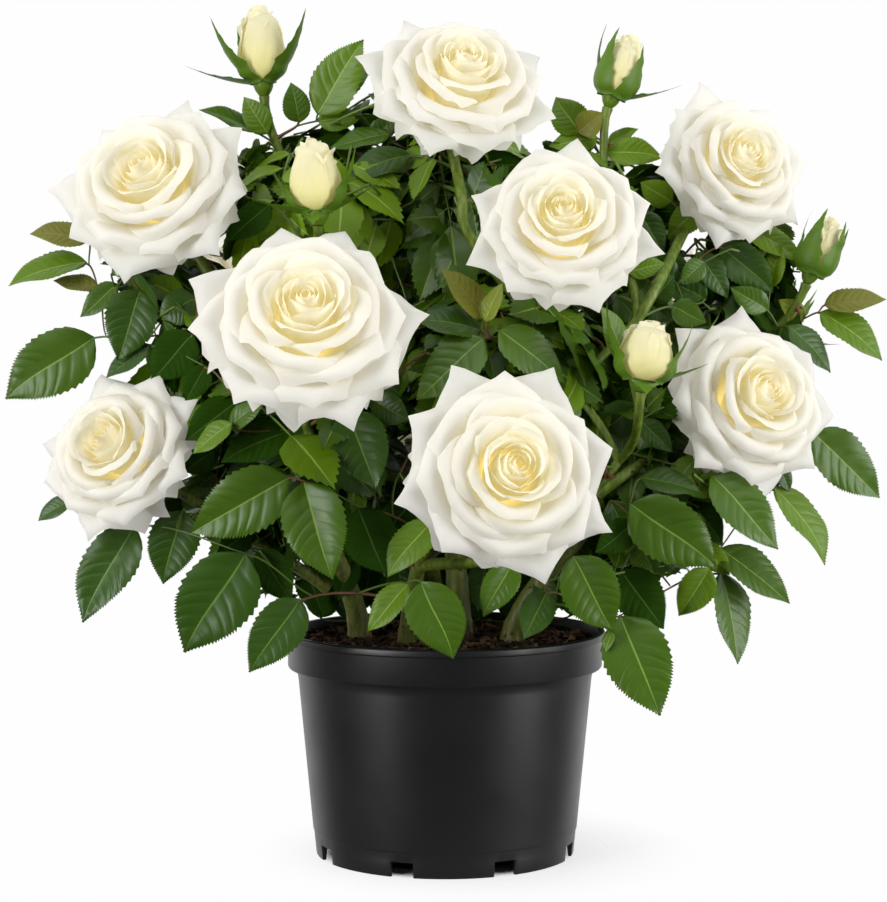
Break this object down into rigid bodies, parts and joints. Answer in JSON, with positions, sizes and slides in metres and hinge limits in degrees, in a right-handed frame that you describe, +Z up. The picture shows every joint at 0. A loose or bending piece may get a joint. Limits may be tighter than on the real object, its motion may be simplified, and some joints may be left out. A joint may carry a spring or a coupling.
{
  "type": "potted rose bush",
  "caption": "Bushy garden rose in a tapered nursery pot, with large open double roses, buds and dense serrated leaves on upright canes.",
  "frame": {"origin": "middle of the pot's flat underside, on the surface that the pot stands on", "axes": "+Z up, -Y to the front where the roses face, +X to the front view's right"},
  "size_m": [0.4634, 0.3634, 0.4582],
  "materials": {
    "pot_plastic": "moulded black polypropylene, softly matte",
    "soil": "moist dark potting compost with bark chips",
    "cane_bark": "smooth green to brown rose bark with small prickles",
    "stem_green": "smooth fresh green stem",
    "petal": "soft matte white petals, cream to pale yellow in the middle",
    "bud_petal": "pale yellow-green furled petals",
    "leaf": "glossy dark green leaves"
  },
  "bodies": {
    "root": {"bud_back_left": "bud_petal", "bud_back_right": "bud_petal", "bud_front_right": "bud_petal", "bud_left": "bud_petal", "bud_right": "bud_petal", "bud_top_left": "bud_petal", "bud_top_right": "bud_petal", "cane_back": "cane_bark", "cane_front": "cane_bark", "cane_left": "cane_bark", "cane_middle": "cane_bark", "cane_right": "cane_bark", "foliage_back_left": "leaf", "foliage_back_low": "leaf", "foliage_back_right": "leaf", "foliage_back_top": "leaf", "foliage_left": "leaf", "foliage_low_front": "leaf", "foliage_low_left": "leaf", "foliage_low_right": "leaf", "foliage_mid": "leaf", "foliage_mid_left": "leaf", "foliage_mid_right": "leaf", "foliage_right": "leaf", "foliage_right_low": "leaf", "foliage_top": "leaf", "foliage_top_left": "leaf", "foliage_top_right": "leaf", "pot": "pot_plastic", "rose_back": "petal", "rose_back_left": "petal", "rose_back_right": "petal", "rose_back_top": "petal", "rose_front": "petal", "rose_left": "petal", "rose_low_left": "petal", "rose_right": "petal", "rose_top": "petal", "rose_top_left": "petal", "rose_top_right": "petal", "rose_upper_right": "petal", "side_shoot_left": "cane_bark", "soil": "soil", "stem_back": "stem_green", "stem_back_left": "stem_green", "stem_back_right": "stem_green", "stem_bud_back_left": "stem_green", "stem_bud_back_right": "stem_green", "stem_bud_front_right": "stem_green", "stem_bud_left": "stem_green", "stem_bud_right": "stem_green", "stem_bud_top_left": "stem_green", "stem_bud_top_right": "stem_green", "stem_front": "stem_green", "stem_left": "stem_green", "stem_right": "stem_green", "stem_top": "stem_green", "stem_top_left": "stem_green", "stem_top_right": "stem_green", "stem_upper_right": "stem_green"}
  },
  "joints": []
}
